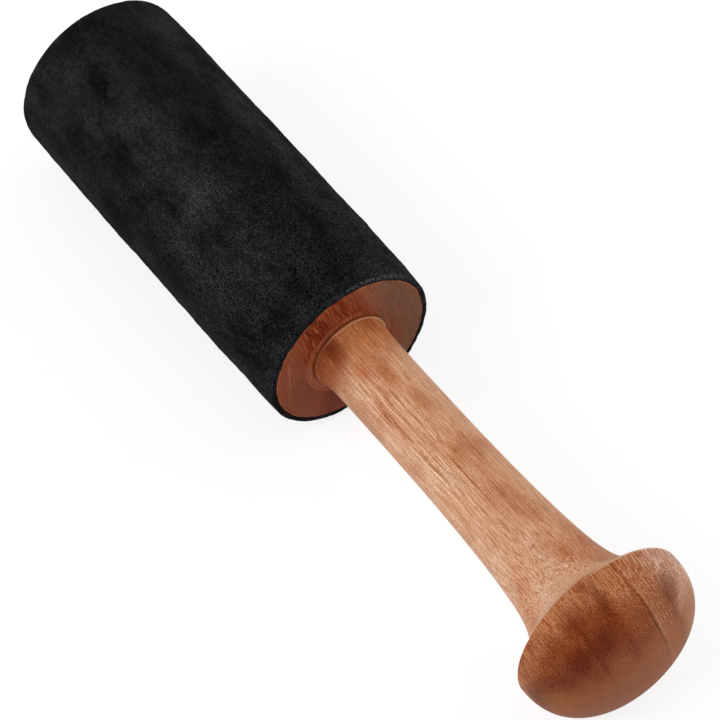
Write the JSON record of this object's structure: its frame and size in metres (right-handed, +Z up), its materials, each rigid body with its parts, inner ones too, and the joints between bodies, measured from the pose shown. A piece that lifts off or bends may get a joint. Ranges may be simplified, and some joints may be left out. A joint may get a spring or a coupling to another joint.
{
  "type": "singing bowl mallet",
  "caption": "Singing bowl mallet with a suede-wrapped cylindrical head on a turned wooden handle that flares into a mushroom knob.",
  "frame": {"origin": "middle of the bounding box's base, on the surface that the mallet lies on", "axes": "+X along the mallet's long axis, from the head towards the knob; +Z up from the surface it lies on"},
  "size_m": [0.2408, 0.0498, 0.0499],
  "materials": {
    "head_wood": "oiled end grain, satin",
    "suede": "black suede with a short mottled nap, matt",
    "handle_wood": "fine straight grain with figure, satin varnish",
    "knob_wood": "reddish grain, polished semi-gloss"
  },
  "bodies": {
    "root": {"head_core": "head_wood", "suede_sleeve": "suede", "handle": "handle_wood", "knob": "knob_wood"}
  },
  "joints": []
}
